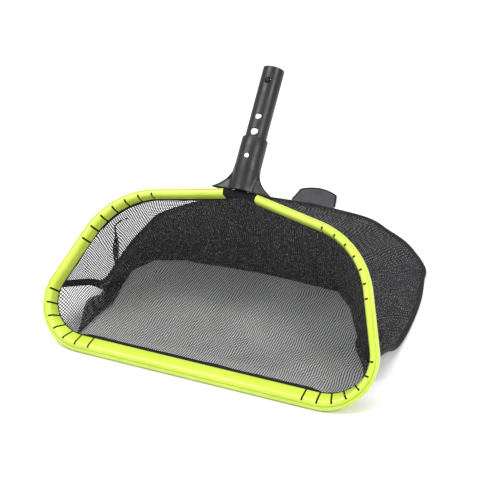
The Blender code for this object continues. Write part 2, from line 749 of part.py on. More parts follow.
def make_pull_tab(binding_back):
    hinge = bpy.data.objects.new("tab_hinge", None)
    PARTS.objects.link(hinge)
    hinge.location = (0, binding_back + TAB_GAP, BINDING_R + 0.0002)
    half_base, half_end, crown = TAB_WIDTH / 2, TAB_WIDTH / 2 - 0.0053, 0.0085
    curve = bpy.data.curves.new("pull_tab", "CURVE")
    curve.dimensions = "2D"
    curve.fill_mode = "BOTH"
    curve.extrude = TAB_THICK / 2
    top = [(half_end * math.cos(a), TAB_LENGTH - crown * math.cos(a) ** 2) for a in
           [math.pi * i / 12 for i in range(13)]]
    outline = [(-half_base, 0.0), (half_base, 0.0)] + top
    spline = curve.splines.new("POLY")
    spline.points.add(len(outline) - 1)
    for spot, p in zip(spline.points, outline):
        spot.co = (*p, 0.0, 1.0)
    spline.use_cyclic_u = True
    curve.materials.append(WEBBING)
    tab = bpy.data.objects.new("pull_tab", curve)
    PARTS.objects.link(tab)
    tab.parent = hinge
    tab.rotation_euler = (TAB_REST, 0, 0)


def main():
    hoop_frame = bpy.data.objects.new("hoop_frame", None)
    PARTS.objects.link(hoop_frame)
    hoop_frame.location = HOOP.to_translation()
    hoop_frame.rotation_euler = (-LEAN, 0, 0)
    make_edging(hoop_frame)
    rod_x, rod_y = make_rod(hoop_frame)
    make_hem(hoop_frame)
    make_yoke(hoop_frame, rod_x)
    make_spigot(hoop_frame)
    make_fasteners(hoop_frame, rod_x, rod_y)
    make_clip(hoop_frame)
    make_panels()
    make_pull_tab(make_bindings())


main()
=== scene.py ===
"""Looks of the leaf skimmer net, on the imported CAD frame. Metres, +Z up, the mouth towards -Y."""

import json
import math

import bmesh
import bpy
from mathutils import Matrix, Vector, noise


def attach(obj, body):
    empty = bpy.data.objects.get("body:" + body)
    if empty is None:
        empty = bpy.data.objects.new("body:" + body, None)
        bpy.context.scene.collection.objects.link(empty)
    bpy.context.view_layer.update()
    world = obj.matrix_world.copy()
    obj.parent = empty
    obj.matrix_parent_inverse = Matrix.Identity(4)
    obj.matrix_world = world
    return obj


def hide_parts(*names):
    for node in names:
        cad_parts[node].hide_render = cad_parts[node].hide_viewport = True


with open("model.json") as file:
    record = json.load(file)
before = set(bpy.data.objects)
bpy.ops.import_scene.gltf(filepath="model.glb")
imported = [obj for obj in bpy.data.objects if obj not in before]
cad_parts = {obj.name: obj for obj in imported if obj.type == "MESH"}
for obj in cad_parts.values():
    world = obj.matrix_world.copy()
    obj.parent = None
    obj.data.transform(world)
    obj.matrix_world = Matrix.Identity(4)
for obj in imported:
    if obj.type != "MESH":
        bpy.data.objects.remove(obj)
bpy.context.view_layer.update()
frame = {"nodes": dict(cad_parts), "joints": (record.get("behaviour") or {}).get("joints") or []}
pi, cos, sin = math.pi, math.cos, math.sin

# Hoop line and sections, as in the CAD
LEAN, RIDGE_HEIGHT, FRONT = math.radians(44.0), 0.0125, 0.2549
BOTTOM_HALF, CORNER_R, CORNER_TURN = 0.162, 0.0598, math.radians(110.0)
SIDE_LENGTH, TOP_R, RISE = 0.0745, 0.1065, math.radians(11.3)
THICK = (0.0150, 0.0120, 0.0100)
DEPTH = (0.0200, 0.0180, 0.0160)
ROLL = (LEAN, math.radians(6.0), math.radians(4.0))
SHIFT = (0.0050, 0.0015, 0.0015)
WALL, NOSE, END_X = 0.0014, 0.38, 0.0225
AXIS_Y = 0.007
SEAM_START = 0.272
HOOP = Matrix.Translation((0, -FRONT, RIDGE_HEIGHT)) @ Matrix.Rotation(-LEAN, 4, "X")
PITCH = 0.0030  # net thread spacing
KERF_GROUPS, KERF_SPACING, KERF_WIDTH = (0.204, 0.398), 0.0192, 0.0025  # group middles along the hoop


def lerp(a, b, t):
    return a + (b - a) * t


def smooth(t):
    t = min(1.0, max(0.0, t))
    return t * t * (3 - 2 * t)


def bump(x, centre, width):
    return math.exp(-(((x - centre) / width) ** 2))


SIDE_START = BOTTOM_HALF + CORNER_R * CORNER_TURN
SIDE_END = SIDE_START + SIDE_LENGTH
TOP_ARC = TOP_R * (pi - RISE - CORNER_TURN)
RAIL_START = SIDE_END + TOP_ARC


def turn(x, z, heading, radius, length):
    end = heading + length / radius
    return x + radius * (sin(end) - sin(heading)), z - radius * (cos(end) - cos(heading)), end


def ridge(s):
    x, z, heading = min(s, BOTTOM_HALF), 0.0, 0.0
    if s > BOTTOM_HALF:
        x, z, heading = turn(x, z, heading, CORNER_R, min(s, SIDE_START) - BOTTOM_HALF)
    if s > SIDE_START:
        run = min(s - SIDE_START, SIDE_LENGTH)
        x, z = x + run * cos(heading), z + run * sin(heading)
    if s > SIDE_END:
        x, z, heading = turn(x, z, heading, TOP_R, min(s - SIDE_END, TOP_ARC))
    if s > RAIL_START:
        x, z = x + (s - RAIL_START) * cos(heading), z + (s - RAIL_START) * sin(heading)
    return x, z, heading


TO_MIDDLE = ridge(RAIL_START)[0] / cos(RISE)


def rail(x):
    return RAIL_START + TO_MIDDLE - x / cos(RISE)


TOP = rail(0.0)


def varied(sizes, s):
    size = lerp(sizes[0], sizes[1], smooth((s - BOTTOM_HALF) / (SIDE_START - BOTTOM_HALF)))
    return lerp(size, sizes[2], smooth((s - SIDE_END) / TOP_ARC))


def section(s):
    side = -1.0 if s < 0 else 1.0
    s = abs(s)
    x, z, heading = ridge(s)
    roll = varied(ROLL, s)
    ox, oz = sin(heading), -cos(heading)
    outward = Vector((ox * cos(roll), sin(roll), oz * cos(roll)))
    deep = Vector((-ox * sin(roll), cos(roll), -oz * sin(roll)))
    middle = Vector((x, 0, z)) + outward * varied(SHIFT, s)
    for v in (middle, outward, deep):
        v.x *= side
    return middle, outward, deep, varied(THICK, s), varied(DEPTH, s)


def in_channel(s, depth, out=0.0):
    middle, outward, deep, _, _ = section(s)
    return HOOP @ (middle + deep * depth + outward * out)


# ---------------------------------------------------------------- materials


def node_tree(name):
    material = bpy.data.materials.new(name)
    material.use_nodes = True
    nt = material.node_tree
    return material, nt, nt.nodes["Principled BSDF"]


def add(nt, kind, inputs=(), **settings):
    n = nt.nodes.new(kind)
    for key, value in settings.items():
        setattr(n, key, value)
    for key, value in dict(inputs).items():
        if isinstance(value, bpy.types.NodeSocket):
            nt.links.new(value, n.inputs[key])
        else:
            n.inputs[key].default_value = value
    return n


def maths(nt, operation, a, b=0.0):
    return add(nt, "ShaderNodeMath", {0: a, 1: b}, operation=operation).outputs[0]


def ramp(nt, fac, stops):
    n = add(nt, "ShaderNodeValToRGB", {"Fac": fac})
    elements = n.color_ramp.elements
    while len(elements) < len(stops):
        elements.new(0.5)
    for element, (place, value) in zip(elements, stops):
        element.position = place
        element.color = (*value, 1.0) if hasattr(value, "__len__") else (value, value, value, 1.0)
    return n.outputs[0]


def noise_at(nt, scale, detail=3.0, coords="Object", rough=0.5):
    place = add(nt, "ShaderNodeTexCoord").outputs[coords]
    inputs = {"Vector": place, "Scale": scale, "Detail": detail, "Roughness": rough}
    return add(nt, "ShaderNodeTexNoise", inputs).outputs[0]


def add_bump(nt, shader, height, strength, distance):
    n = add(nt, "ShaderNodeBump", {"Height": height, "Strength": strength, "Distance": distance})
    nt.links.new(n.outputs[0], shader.inputs["Normal"])


def plastic(name, dark, light, rough=(0.3, 0.45), grain=900.0, grain_depth=0.00006, coat=0.0, gloss=0.5):
    material, nt, shader = node_tree(name)
    patch = noise_at(nt, 18.0)
    nt.links.new(ramp(nt, patch, ((0.35, dark), (0.65, light))), shader.inputs["Base Color"])
    smear = noise_at(nt, 55.0, 4.0)
    nt.links.new(ramp(nt, smear, ((0.3, rough[0]), (0.7, rough[1]))), shader.inputs["Roughness"])
    add_bump(nt, shader, noise_at(nt, grain, 2.0), 0.25, grain_depth)
    shader.inputs["Specular IOR Level"].default_value = gloss
    shader.inputs["Coat Weight"].default_value = coat
    shader.inputs["Coat Roughness"].default_value = 0.25
    return material


def metal(name, dark, light, rough):
    material, nt, shader = node_tree(name)
    shader.inputs["Metallic"].default_value = 1.0
    nt.links.new(ramp(nt, noise_at(nt, 60.0), ((0.3, dark), (0.7, light))), shader.inputs["Base Color"])
    scratch = noise_at(nt, 700.0, 2.0)
    nt.links.new(ramp(nt, scratch, ((0.3, rough), (0.7, rough + 0.12))), shader.inputs["Roughness"])
    add_bump(nt, shader, scratch, 0.1, 0.00005)
    return material


def thread_wave(nt, coordinate, pitch):
    """0 in the middle of a gap and 1 on the middle of a thread."""
    place = maths(nt, "FRACT", maths(nt, "DIVIDE", coordinate, pitch))
    return maths(nt, "MULTIPLY", maths(nt, "ABSOLUTE", maths(nt, "SUBTRACT", place, 0.5)), 2.0)


def net(name, cover, painted_glints=0.13):
    """Open mesh: two sets of round threads on the sheet's own lengths, with nothing between them."""
    material, nt, shader = node_tree(name)
    uv = add(nt, "ShaderNodeUVMap", uv_map="cut").outputs[0]
    xy = add(nt, "ShaderNodeSeparateXYZ", {0: uv})
    drift = maths(nt, "MULTIPLY", noise_at(nt, 22.0, 1.0, "UV"), 0.010)
    waves = [thread_wave(nt, maths(nt, "ADD", xy.outputs[i], drift), PITCH) for i in (0, 1)]
    high = maths(nt, "MAXIMUM", *waves)
    alpha = maths(nt, "GREATER_THAN", high, 1 - cover)
    nt.links.new(alpha, shader.inputs["Alpha"])
    # Bright specks in the thread colour, where this noise is above 0.70, are painted highlights standing in
    # for light caught on the threads; the same noise also varies the roughness.
    glint = noise_at(nt, 650.0, 2.0, rough=0.6)
    dark, mid = (0.006, 0.006, 0.007), (0.016, 0.016, 0.018)
    colour = ramp(nt, glint, ((0.40, dark), (0.60, mid), (0.70, (painted_glints, painted_glints, painted_glints))))
    nt.links.new(colour, shader.inputs["Base Color"])
    nt.links.new(ramp(nt, glint, ((0.3, 0.75), (0.7, 0.45))), shader.inputs["Roughness"])
    shader.inputs["Specular IOR Level"].default_value = 0.2
    crossing = maths(nt, "SUBTRACT", waves[0], waves[1])
    add_bump(nt, shader, crossing, 0.5, 0.0003)
    return material


def cloth(name, dark, light, pitch, diagonal=False):
    """Closely woven tape, with its weave on the piece's own lengths."""
    material, nt, shader = node_tree(name)
    uv = add(nt, "ShaderNodeUVMap", uv_map="cut").outputs[0]
    xy = add(nt, "ShaderNodeSeparateXYZ", {0: uv})
    u, v = xy.outputs[0], xy.outputs[1]
    if diagonal:
        u, v = maths(nt, "ADD", u, v), maths(nt, "SUBTRACT", u, v)
    waves = [thread_wave(nt, w, pitch) for w in (u, v)]
    weave = maths(nt, "MULTIPLY", *waves)
    patch = noise_at(nt, 90.0)
    mixed = maths(nt, "ADD", maths(nt, "MULTIPLY", weave, 0.6), maths(nt, "MULTIPLY", patch, 0.5))
    nt.links.new(ramp(nt, mixed, ((0.2, dark), (0.8, light))), shader.inputs["Base Color"])
    nt.links.new(ramp(nt, patch, ((0.3, 0.75), (0.7, 0.95))), shader.inputs["Roughness"])
    shader.inputs["Specular IOR Level"].default_value = 0.2
    shader.inputs["Sheen Weight"].default_value = 0.08
    shader.inputs["Sheen Roughness"].default_value = 0.5
    add_bump(nt, shader, weave, 0.6, 0.0004)
    return material


LIME = plastic(
    "lime_edging_look", (0.49, 0.63, 0.045), (0.55, 0.70, 0.070), (0.28, 0.42), 700.0, 0.00004, coat=0.25
)
BLACK = plastic(
    "black_plastic_look",
    (0.006, 0.006, 0.007),
    (0.013, 0.013, 0.014),
    (0.32, 0.48),
    1400.0,
    0.0001,
    gloss=0.42,
)
BUTTON = plastic(
    "button_look", (0.004, 0.004, 0.004), (0.008, 0.008, 0.009), (0.45, 0.55), 1400.0, 0.0001, gloss=0.25
)
# The third value is the brightness of the painted highlight specks in each net's thread colour.
NET = net("net_mesh_look", 0.46, 0.30)
FLOOR_NET = net("floor_net_look", 0.34, 0.22)
GATHER = net("gathered_net_look", 0.72, 0.30)
HEM = cloth("hem_look", (0.003, 0.003, 0.003), (0.012, 0.012, 0.013), 0.0011)
TAPE = cloth("seam_binding_look", (0.004, 0.004, 0.004), (0.016, 0.016, 0.017), 0.0009, True)
WEB = cloth("tab_webbing_look", (0.030, 0.030, 0.032), (0.105, 0.105, 0.11), 0.0015)
THREAD = cloth("stitch_look", (0.03, 0.03, 0.033), (0.10, 0.10, 0.105), 0.0005, True)
ALUMINIUM = metal("hoop_aluminium_look", (0.62, 0.62, 0.64), (0.80, 0.80, 0.81), 0.22)
STEEL = metal("spring_steel_look", (0.42, 0.42, 0.43), (0.60, 0.60, 0.61), 0.25)

# ---------------------------------------------------------------- mesh helpers


def finish_piece(bm, name, material, body, replaces=(), angle=40.0, flip=True):
    if flip:
        bmesh.ops.recalc_face_normals(bm, faces=bm.faces)
    mesh = bpy.data.meshes.new(name)
    bm.to_mesh(mesh)
    bm.free()
    mesh.shade_smooth()
    mesh.set_sharp_from_angle(angle=math.radians(angle))
    mesh.materials.append(material)
    obj = bpy.data.objects.new(name, mesh)
    bpy.context.scene.collection.objects.link(obj)
    if body:
        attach(obj, body)
    if replaces:
        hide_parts(*replaces)
    return obj


def grid(bm, rows, uvs=None, closed=False):
    """Faces through rows of points, with lengths along and across as UVs."""
    layer = bm.loops.layers.uv.get("cut") or bm.loops.layers.uv.new("cut")
    made = [[bm.verts.new(p) for p in row] for row in rows]
    across = [0.0]
    middle = rows[len(rows) // 2]
    for p, q in zip(middle, list(middle[1:]) + [middle[0]]):
        across.append(across[-1] + (Vector(q) - Vector(p)).length)
    along = [0.0]
    for a, b in zip(rows, rows[1:]):
        along.append(along[-1] + (Vector(b[0]) - Vector(a[0])).length)
    count = len(rows[0])
    for i in range(len(rows) - 1):
        for j in range(count if closed else count - 1):
            k = (j + 1) % count
            face = bm.faces.new((made[i][j], made[i][k], made[i + 1][k], made[i + 1][j]))
            corners = ((i, j), (i, j + 1), (i + 1, j + 1), (i + 1, j))
            for loop, (a, b) in zip(face.loops, corners):
                if uvs:
                    loop[layer].uv = uvs(a, b)
                else:
                    loop[layer].uv = (along[a], across[b])
    if closed:
        bm.faces.new(made[0])
        bm.faces.new(list(reversed(made[-1])))
    return made


def apply_all(obj):
    """The object's modifiers applied to its mesh."""
    bpy.context.view_layer.update()
    mesh = bpy.data.meshes.new_from_object(obj.evaluated_get(bpy.context.evaluated_depsgraph_get()))
    obj.modifiers.clear()
    obj.data = mesh


def cut_with(obj, cutter):
    modifier = obj.modifiers.new("cut", "BOOLEAN")
    modifier.object = cutter
    modifier.operation = "DIFFERENCE"
    modifier.solver = "EXACT"
    apply_all(obj)
    bpy.data.objects.remove(cutter, do_unlink=True)


def cutter_from(bm):
    bmesh.ops.recalc_face_normals(bm, faces=bm.faces)
    mesh = bpy.data.meshes.new("cutter")
    bm.to_mesh(mesh)
    bm.free()
    obj = bpy.data.objects.new("cutter", mesh)
    bpy.context.scene.collection.objects.link(obj)
    return obj


def add_cylinder(bm, radius, start, end, sides=32):
    start, end = Vector(start), Vector(end)
    lay = (end - start).to_track_quat("Z", "Y").to_matrix().to_4x4()
    place = Matrix.Translation((start + end) / 2) @ lay
    size = {"radius1": radius, "radius2": radius, "depth": (end - start).length}
    bmesh.ops.create_cone(bm, cap_ends=True, segments=sides, matrix=place, **size)


def turned(bm, profile, sides, place):
    rows = []
    angles = [2 * pi * i / sides for i in range(sides)]
    for radius, height in profile:
        rows.append([place @ Vector((radius * cos(a), radius * sin(a), height)) for a in angles])
    grid(bm, rows, closed=True)


# ---------------------------------------------------------------- edging


def edging_profile(thick, depth, shift):
    half, radius, inside, lip = thick / 2, thick * NOSE, thick / 2 - WALL, 0.0006
    angles = [pi / 2 * i / 7 for i in range(8)]
    corner = [(radius * (1 - cos(a)), radius * (1 - sin(a))) for a in angles]
    near = [(-half + x, y) for x, y in corner]
    far = [(half - x, y) for x, y in reversed(corner)]
    front = near + far
    groove = 0.0036 - shift
    crease = ((groove - 0.0008, 0.0), (groove - 0.0003, 0.0011))
    crease += ((groove + 0.0003, 0.0011), (groove + 0.0008, 0.0))

    def outline(e):
        over = max(0.0, abs(e) - (half - radius))
        return radius - math.sqrt(max(0.0, radius**2 - over**2))

    crown = [(e, outline(e) + sink) for e, sink in crease]
    low, high, step = crown[0][0], crown[-1][0], 0.00012
    for i, (e, _) in enumerate(front):
        if low - 0.0001 < e < high + 0.0001:
            e = low - step * (len(front) - i) / 8 if e < groove else high + step * (1 + i / 8)
            front[i] = (e, outline(e))
    front = sorted(front + crown)
    front[0], front[-1] = near[0], far[-1]
    bevel = 0.001
    hollow = [(inside + 0.0003, depth), (inside, depth - lip), (inside, WALL + bevel), (inside - bevel, WALL)]
    hollow += [(-x, y) for x, y in reversed(hollow)]
    right, left = [(half, depth - lip), (half - 0.0004, depth)], [(-half + 0.0004, depth)]
    return [(-half, depth - lip)] + front + right + hollow + left


def make_edging():
    end = rail(END_X)
    count = 300
    rows = []
    for i in range(count + 1):
        s = lerp(-end, end, i / count)
        middle, outward, deep, thick, depth = section(s)
        profile = edging_profile(thick, depth, varied(SHIFT, abs(s)))
        rows.append([HOOP @ (middle + outward * e + deep * d) for e, d in profile])
    bm = bmesh.new()
    grid(bm, rows, closed=True)
    edging = finish_piece(bm, "edging", LIME, None, angle=50)
    bm = bmesh.new()
    for group in KERF_GROUPS:
        for i in range(7):
            for side in (-1, 1):
                s = side * (group + (i - 3) * KERF_SPACING)
                middle, outward, deep, thick, depth = section(s)
                along = outward.cross(deep).normalized()
                low, high = -thick / 2 - 0.001, -varied(SHIFT, abs(s)) + 0.0006
                size = (high - low, depth + 0.002, KERF_WIDTH)
                basis = Matrix((outward, deep, along)).transposed().to_4x4()
                centre = middle + outward * (low + high) / 2 + deep * depth / 2
                place = HOOP @ Matrix.Translation(centre) @ basis @ Matrix.Diagonal((*size, 1.0))
                bmesh.ops.create_cube(bm, size=1.0, matrix=place)
    cut_with(edging, cutter_from(bm))
    edging.data.shade_smooth()
    edging.data.set_sharp_from_angle(angle=math.radians(50))
    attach(edging, "hoop")
    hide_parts("lime_edging")


# ---------------------------------------------------------------- bag

SEAM_ROUTE = (
    (0.2195, 0.110, 0.032),
    (0.2225, 0.150, 0.010),
    (0.2240, 0.205, 0.0030),
    (0.2215, 0.270, 0.0027),
    (0.2125, 0.325, 0.0027),
    (0.2055, 0.357, 0.0027),
    (0.1690, 0.4065, 0.0027),
    (0.1290, 0.4360, 0.0027),
    (0.0880, 0.4590, 0.0027),
    (0.0, 0.4680, 0.0027),
)
# How far the left side is drawn in, as a share of its distance from the middle, by distance back
DRAWN_IN = (
    (0.060, 0.0),
    (0.110, 0.085),
    (0.158, 0.120),
    (0.226, 0.078),
    (0.281, 0.050),
    (0.335, 0.015),
    (0.38, 0.0),
)
# Where the sides come down on the floor panel, as (share of the seam, x, y)
FEET = {
    1: (
        (0.0, 0.214, 0.088),
        (0.12, 0.193, 0.106),
        (0.20, 0.178, 0.140),
        (0.30, 0.162, 0.174),
        (0.42, 0.140, 0.220),
        (0.55, 0.112, 0.252),
        (1.0, 0.0, 0.256),
    ),
    -1: (
        (0.0, 0.200, 0.100),
        (0.12, 0.182, 0.125),
        (0.20, 0.174, 0.161),
        (0.30, 0.176, 0.198),
        (0.42, 0.158, 0.233),
        (0.55, 0.118, 0.247),
        (1.0, 0.0, 0.256),
    ),
}
# The foot of the floor panel's raised sides, as (y, x)
CREASE = {
    1: ((0.030, 0.205), (0.085, 0.206), (0.120, 0.204), (0.170, 0.210), (0.250, 0.230)),
    -1: ((0.028, 0.180), (0.093, 0.174), (0.112, 0.168), (0.160, 0.176), (0.200, 0.190), (0.250, 0.215)),
}


def table(rows, at, column=1):
    """A value read off rows of (place, value, ...), between which it runs straight."""
    if at <= rows[0][0]:
        return rows[0][column]
    for low, high in zip(rows, rows[1:]):
        if at <= high[0]:
            return lerp(low[column], high[column], (at - low[0]) / (high[0] - low[0]))
    return rows[-1][column]


def floor_frame(x, y, z):
    return Vector((x, y - FRONT, z))


def smooth_line(points, count):
    ends = [points[0] * 2 - points[1]] + list(points) + [points[-1] * 2 - points[-2]]
    dense = []
    for a, b, c, d in zip(ends, ends[1:], ends[2:], ends[3:]):
        for i in range(12):
            t = i / 12
            square, cube = a * 2 - b * 5 + c * 4 - d, b * 3 - a - c * 3 + d
            dense.append((b * 2 + (c - a) * t + square * t * t + cube * t**3) / 2)
    dense.append(points[-1])
    lengths = [0.0]
    for p, q in zip(dense, dense[1:]):
        lengths.append(lengths[-1] + (q - p).length)
    line, k = [], 0
    for i in range(count):
        want = lengths[-1] * i / (count - 1)
        while k < len(dense) - 2 and lengths[k + 1] < want:
            k += 1
        line.append(dense[k].lerp(dense[k + 1], (want - lengths[k]) / (lengths[k + 1] - lengths[k])))
    return line


SEAM = smooth_line([in_channel(SEAM_START, DEPTH[1] + 0.004)] + [floor_frame(*p) for p in SEAM_ROUTE], 401)


def seam_at(share, side=1):
    """A point of the seam, from the side rail at 0 to the middle of the tail at 1."""
    place = min(1.0, max(0.0, share)) * 400
    low = min(int(place), 399)
    p = SEAM[low].lerp(SEAM[low + 1], place - low)
    near = [table(DRAWN_IN, p.y + FRONT + d) for d in (-0.012, -0.004, 0.004, 0.012)]
    drawn = sum(near) / 4 if side < 0 else 0.0
    return Vector((side * p.x * (1 - drawn), p.y, p.z))


def crumple(x, y, scale, seed):
    return noise.noise(Vector((x * scale, y * scale, seed)))


def mouth_at(s, t):
    """Where a panel leaves the edging: from inside the channel at t = 0 to just behind it."""
    return in_channel(s, section(s)[4] - 0.010 + 0.010 * smooth(t * 30))


def edge_tables():
    made = {}
    for side in (1, -1):
        rows = [in_channel(side * lerp(0.175, SEAM_START - 0.003, i / 30), 0.019) for i in range(31)]
        rows += [seam_at(0.5 * i / 60, side) for i in range(61)]
        rows = sorted((p.y + FRONT, abs(p.x), p.z) for p in rows)
        made[side] = rows
    return made


EDGES = edge_tables()


def side_rise(x, y):
    """How high the floor panel stands where it climbs to the edging and the seam at a side."""
    side = 1 if x > 0 else -1
    far, top = table(EDGES[side], y), table(EDGES[side], y, 2)
    foot = table(CREASE[side], y)
    k = min(1.0, max(0.0, (abs(x) - foot) / max(0.004, far - foot)))
    return top * (0.75 * k + 0.25 * k * k)


def floor_point(a, t):
    """a runs from -1 at the left end of the seam to 1 at the right, t from the mouth to the seam."""
    side = -1 if a < 0 else 1
    s = a * (SEAM_START - 0.003)
    mouth = mouth_at(s, t)
    end = seam_at(1.0 - abs(a) ** 1.15, side)
    end.z = max(end.z - 0.0014, 0.0008)
    u = max(0.0, (t - 0.03) / 0.97) ** 1.2
    p = mouth.lerp(end, u)
    fall = mouth.z * (1 - smooth((p - mouth).length / 0.048))
    rise = side_rise(p.x, p.y + FRONT)
    settled = lerp(mouth.z, rise, smooth(u * 12))
    z = lerp(fall, settled, smooth((abs(s) - 0.168) / 0.035)) if abs(s) > 0.168 else fall
    z = max(z, rise * smooth(u * 5), 0.0010)
    z = lerp(z, end.z, smooth((u - 0.86) / 0.14))
    ripple = 0.5 + 0.5 * crumple(p.x, p.y, 13.0, 3.0)
    z += 0.0016 * ripple * smooth(u * 6) * smooth((1 - u) * 8)
    back = p.y + FRONT
    crest = p.x + 0.150 - 0.45 * (back - 0.20)
    z += 0.0045 * bump(crest, 0.0, 0.005) * smooth((back - 0.17) * 25) * smooth((0.235 - back) * 40)
    return Vector((p.x, p.y, z))


def top_point(a, t):
    """a runs from -1 at the left end of the seam over the top to 1 at the right end."""
    side = -1 if a < 0 else 1
    share = (1 - abs(a)) ** 0.9
    s = side * lerp(TOP, SEAM_START + 0.003, abs(a))
    mouth = mouth_at(s, t)
    end = seam_at(share, side) + Vector((0, 0, 0.0012))
    near = smooth(share * 6)
    foot = floor_frame(side * table(FEET[side], share), table(FEET[side], share, 2), 0.0046)
    foot.z = max(foot.z, side_rise(foot.x, foot.y + FRONT) + 0.003)
    foot = end.lerp(foot, near)
    u, half = max(0.0, (t - 0.03) / 0.97), 0.5
    if u < half:
        k = u / half
        p = mouth.lerp(foot, k)
        p.z -= 0.016 * sin(pi * k) * (mouth.z - foot.z) / 0.16
        still = sin(pi * k) ** 0.7
    else:
        k = (u - half) / (1 - half)
        p = foot.lerp(end, k)
        p.z += 0.007 * sin(pi * k) * near
        still = sin(pi * k) ** 0.7
    hang = 1.0 if u < half else 0.0
    back = Vector((0.0, 0.80, 0.45)) * hang + Vector((0, 0, 1.0)) * (1 - hang)
    folds = 0.0
    for centre, lean, width, height, wall in FOLDS:
        folds += height * (wall if hang else 1.0) * bump(a, centre + lean * (u - half), width)
    folds += 0.0030 * crumple(p.x + a * 0.02, p.y, 9.0, 7.0) + 0.0010 * crumple(p.x, p.y, 26.0, 1.0)
    p += back * folds * still * near
    p.z = max(p.z, 0.0040 if t < 0.985 else 0.0)
    return p


FOLDS = (
    (-0.74, 0.05, 0.020, 0.007, 0.6),
    (-0.475, 0.02, 0.022, 0.010, 0.3),
    (-0.26, -0.22, 0.030, 0.006, 0.8),
    (-0.05, -0.10, 0.024, 0.005, 0.7),
    (0.12, 0.18, 0.026, 0.006, 0.8),
    (0.31, 0.12, 0.030, 0.006, 0.8),
    (0.475, 0.02, 0.020, 0.011, 0.3),
    (0.62, -0.06, 0.022, 0.006, 0.5),
    (0.76, 0.05, 0.024, 0.011, 0.5),
)


def net_sheet(name, point, across, down, node, cut, look):
    rows = [[point(lerp(-1, 1, i / across), j / down) for j in range(down + 1)] for i in range(across + 1)]
    across_cut, down_cut = lengths_cut(rows)
    bm = bmesh.new()

    def uv(i, j):
        p = rows[i][j]
        if cut:
            return across_cut[i], down_cut[i][j]
        wall = max(0.0, side_rise(p.x, p.y + FRONT)) * 0.6
        return p.x + math.copysign(wall, p.x), p.y

    grid(bm, rows, uvs=uv)
    obj = finish_piece(bm, name, look, "hoop", (node,) if node else (), angle=180, flip=False)
    return obj, sum(p.area for p in obj.data.polygons)


def lengths_cut(rows):
    """The sheet laid out flat: the length round its mouth, and the length down from it."""
    level = len(rows[0]) // 4
    across, run = [0.0], []
    for a, b in zip(rows, rows[1:]):
        across.append(across[-1] + (b[level] - a[level]).length)
    for row in rows:
        down = [0.0]
        for a, b in zip(row, row[1:]):
            down.append(down[-1] + (b - a).length)
        run.append(down)
    return across, run





def make_bag():
    floor_panel, area = net_sheet("floor_panel", floor_point, 160, 80, "net_floor_panel", False, FLOOR_NET)
    top, area = net_sheet("top_panel", top_point, 240, 100, "net_top_panel", True, NET)
    for name, point in (("left_gather", gather_left), ("right_gather", gather_right)):
        gather, area = net_sheet(name, point, 40, 10, None, True, GATHER)
    leaf, area = net_sheet("left_pleat", leaf_point, 40, 4, None, True, GATHER)


def gather_left(a, t):
    """The spare cloth folded over along the left side's foot: a from its front to its back."""
    k = (a + 1) / 2
    y = lerp(0.030, 0.176, k)
    inner = table(CREASE[-1], y) - 0.001
    width = 0.017 * smooth(k * 2.2) * (1 - 0.25 * k) + 0.003
    x = inner + width * t
    lift = 0.0035 * sin(pi * t) * smooth(k * 3) + 0.0016 + 0.0008 * crumple(y, t * 0.01, 60.0, 5.0)
    return floor_frame(-x, y, max(side_rise(-x, y), 0.0012) + lift)


def gather_right(a, t):
    """The spare cloth along the right side's foot, up the side's inner face."""
    k = (a + 1) / 2
    y = lerp(0.082, 0.190, k)
    far = table(EDGES[1], y)
    inner = lerp(0.196, 0.166, smooth((y - 0.085) / 0.07)) + 0.003
    x = lerp(inner, min(far - 0.005, inner + 0.030), t)
    lift = 0.0040 * sin(pi * t) + 0.0022 + 0.0010 * crumple(y, t * 0.01, 50.0, 8.0)
    lift *= smooth(k * 6) * smooth((1 - k) * 6)
    return floor_frame(x, y, max(side_rise(x, y), 0.0012) + lift + 0.0006)


PLEAT = (
    (-0.1830, 0.158, 0.036),
    (-0.1820, 0.157, 0.060),
    (-0.1785, 0.154, 0.086),
    (-0.1760, 0.147, 0.108),
    (-0.1700, 0.151, 0.115),
    (-0.1615, 0.158, 0.118),
)
PLEAT_LINE = smooth_line([floor_frame(*p) for p in PLEAT], 41)


def leaf_point(a, t):
    """An upright pleat pinched out of the left wall, narrow at its hooked top."""
    k = (a + 1) / 2
    p = PLEAT_LINE[round(k * 40)] + Vector((0.0025, -0.001, 0.0))
    width = 0.0010 + 0.0052 * smooth((k + 0.18) / 0.45) * (1 - smooth((k - 0.30) / 0.40))
    return p + Vector((0.34, 0.84, -0.42)) * width * (t - 0.5) * 2 + Vector((0.002, 0, 0)) * sin(pi * t)


def tape_ring(centre, out, up, half_w, half_t):
    points = []
    for i in range(12):
        a = 2 * pi * i / 12
        across, high = math.copysign(abs(cos(a)) ** 0.6, cos(a)), math.copysign(abs(sin(a)) ** 0.7, sin(a))
        points.append(centre + out * half_w * across + up * half_t * high)
    return points


def tape_along(name, line, outs, node, half_w, half_t, wobble, band=0.0):
    """A flat tape on a line; band turns it on edge where the line climbs off the floor."""
    rows = []
    for i, (p, out) in enumerate(zip(line, outs)):
        lift = wobble * (0.5 + 0.5 * noise.noise(Vector((i * 0.11, len(line) * 0.3, 2.0))))
        tall = band * smooth((p.z - 0.008) / 0.012)
        centre, wide, thick = p + Vector((0, 0, lift)), lerp(half_w, 0.0014, tall), lerp(half_t, 0.0055, tall)
        rows.append(tape_ring(centre, out, Vector((0, 0, 1)), wide, thick))
    bm = bmesh.new()
    grid(bm, rows, closed=True)
    return finish_piece(bm, name, TAPE, "hoop", (node,), angle=60)


